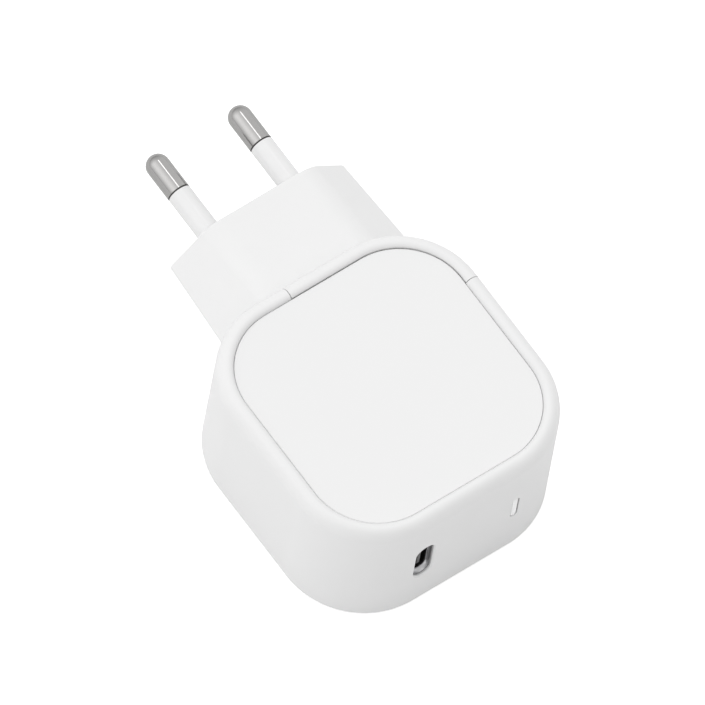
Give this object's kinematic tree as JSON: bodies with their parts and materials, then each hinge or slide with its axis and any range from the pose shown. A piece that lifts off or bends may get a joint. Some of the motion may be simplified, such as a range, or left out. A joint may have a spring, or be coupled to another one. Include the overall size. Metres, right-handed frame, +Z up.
{
  "type": "wall charger",
  "caption": "Rounded-square wall charger with a raised rim, glossy top panel, USB-C port, indicator window and a slide-off plug head with round mains pins.",
  "frame": {"origin": "middle of the body's flat bottom face", "axes": "+Z up through the top panel, +Y the way the mains pins point, +X to the right"},
  "size_m": [0.0564, 0.0978, 0.0316],
  "materials": {
    "body_plastic": "fine satin moulded texture",
    "panel_gloss": "polished",
    "sleeve_plastic": "smooth satin",
    "lens": "milky translucent",
    "nickel": "satin nickel plate",
    "port_steel": "drawn steel",
    "black_plastic": "moulded",
    "gold_contact": "gold flash",
    "board": "solder mask",
    "chip": "moulded epoxy",
    "led_white": "moulded",
    "ferrite": "sintered",
    "copper_wire": "enamelled copper",
    "winding_tape": "polyester tape",
    "can_sleeve": "shrink sleeve",
    "can_aluminium": "drawn can",
    "film_box": "epoxy filled box",
    "disc_blue": "dipped epoxy",
    "fuse_sleeve": "shrink sleeve",
    "spreader": "rolled sheet",
    "pad_grey": "silicone",
    "fish_paper": "pressed paper",
    "brass_strip": "stamped"
  },
  "bodies": {
    "adapter": {"housing": "body_plastic", "top_panel": "panel_gloss", "base_cover": "body_plastic", "indicator_lens": "lens", "port_bezel": "port_steel", "usb_port_shell": "port_steel", "usb_port_tongue": "black_plastic", "usb_port_contacts": "gold_contact", "main_board": "board", "port_board": "board", "led_board": "board", "status_led": "led_white", "pd_controller": "chip", "power_switch": "chip", "sync_rectifier": "chip", "optocoupler": "chip", "bridge_rectifier": "chip", "transformer_core": "ferrite", "transformer_bobbin": "black_plastic", "transformer_winding": "winding_tape", "bulk_capacitors": "can_sleeve", "output_capacitors": "can_aluminium", "x_capacitor": "film_box", "y_capacitor": "disc_blue", "choke_core": "ferrite", "choke_windings": "copper_wire", "input_fuse": "fuse_sleeve", "heat_spreader": "spreader", "thermal_pad": "pad_grey", "insulating_sheet": "fish_paper", "inlet_block": "black_plastic", "inlet_pins": "nickel", "inlet_leads": "brass_strip", "latch_post": "nickel", "post_nut": "nickel"},
    "plug_head": {"head_shell": "body_plastic", "head_cover": "body_plastic", "pin_carrier": "body_plastic", "mains_pin_left": "nickel", "mains_pin_right": "nickel", "pin_sleeve_left": "sleeve_plastic", "pin_sleeve_right": "sleeve_plastic", "contact_clips": "brass_strip", "busbars": "brass_strip", "latch_spring": "nickel"}
  },
  "joints": [
    {"name": "head_slide", "type": "slide", "parent": "adapter", "child": "plug_head", "axis": [0, 1, 0], "range_m": [0, 0.025]}
  ]
}
